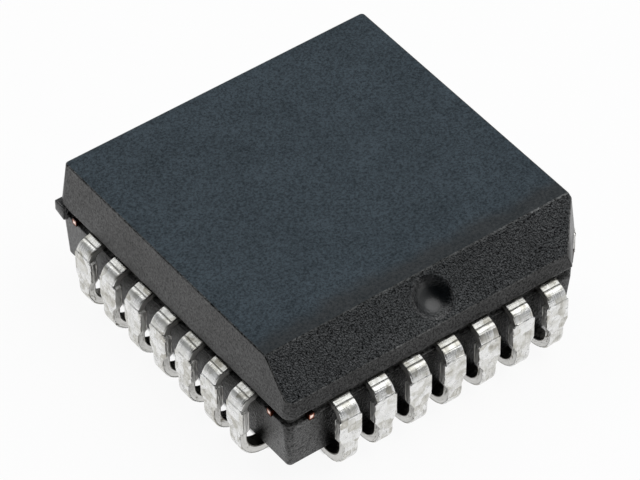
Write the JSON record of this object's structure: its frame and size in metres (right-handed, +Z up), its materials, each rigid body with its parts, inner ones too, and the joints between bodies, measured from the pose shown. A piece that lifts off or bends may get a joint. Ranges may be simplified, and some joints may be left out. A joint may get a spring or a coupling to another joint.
{
  "type": "analog-to-digital converter chip",
  "caption": "Square converter chip moulded on a copper leadframe, with J-bend leads folded under every side, a bevelled pin 1 side, a chamfered corner, and its die and bond wires inside.",
  "frame": {"origin": "bottom centre of the package, on the seating plane that the feet of the J-leads stand on", "axes": "+Z up out of the marked top face; +Y towards the bevelled pin 1 side, whose middle lead is pin 1; +X towards the side of pins 19 to 25; the chamfered corner is at -X +Y"},
  "size_m": [0.0124, 0.0124, 0.0044],
  "materials": {
    "mould_compound": "black epoxy moulding compound, fine spark-eroded matte",
    "tin_plate": "matte tin plate over copper, with forming marks",
    "leadframe_copper": "bare leadframe copper, sheared at the ends",
    "silver_epoxy": "cured silver-filled die adhesive",
    "silicon": "polished silicon with a passivated surface",
    "gold_wire": "bright drawn gold wire"
  },
  "bodies": {
    "root": {"moulded_body": "mould_compound", "die_paddle": "leadframe_copper", "die_attach": "silver_epoxy", "die": "silicon", "lead_01": "tin_plate", "lead_02": "tin_plate", "lead_03": "tin_plate", "lead_04": "tin_plate", "lead_05": "tin_plate", "lead_06": "tin_plate", "lead_07": "tin_plate", "lead_08": "tin_plate", "lead_09": "tin_plate", "lead_10": "tin_plate", "lead_11": "tin_plate", "lead_12": "tin_plate", "lead_13": "tin_plate", "lead_14": "tin_plate", "lead_15": "tin_plate", "lead_16": "tin_plate", "lead_17": "tin_plate", "lead_18": "tin_plate", "lead_19": "tin_plate", "lead_20": "tin_plate", "lead_21": "tin_plate", "lead_22": "tin_plate", "lead_23": "tin_plate", "lead_24": "tin_plate", "lead_25": "tin_plate", "lead_26": "tin_plate", "lead_27": "tin_plate", "lead_28": "tin_plate", "wire_01": "gold_wire", "wire_02": "gold_wire", "wire_03": "gold_wire", "wire_04": "gold_wire", "wire_05": "gold_wire", "wire_06": "gold_wire", "wire_07": "gold_wire", "wire_08": "gold_wire", "wire_09": "gold_wire", "wire_10": "gold_wire", "wire_11": "gold_wire", "wire_12": "gold_wire", "wire_13": "gold_wire", "wire_14": "gold_wire", "wire_15": "gold_wire", "wire_16": "gold_wire", "wire_17": "gold_wire", "wire_18": "gold_wire", "wire_19": "gold_wire", "wire_20": "gold_wire", "wire_21": "gold_wire", "wire_22": "gold_wire", "wire_23": "gold_wire", "wire_24": "gold_wire", "wire_25": "gold_wire", "wire_26": "gold_wire", "wire_27": "gold_wire", "wire_28": "gold_wire"}
  },
  "joints": []
}
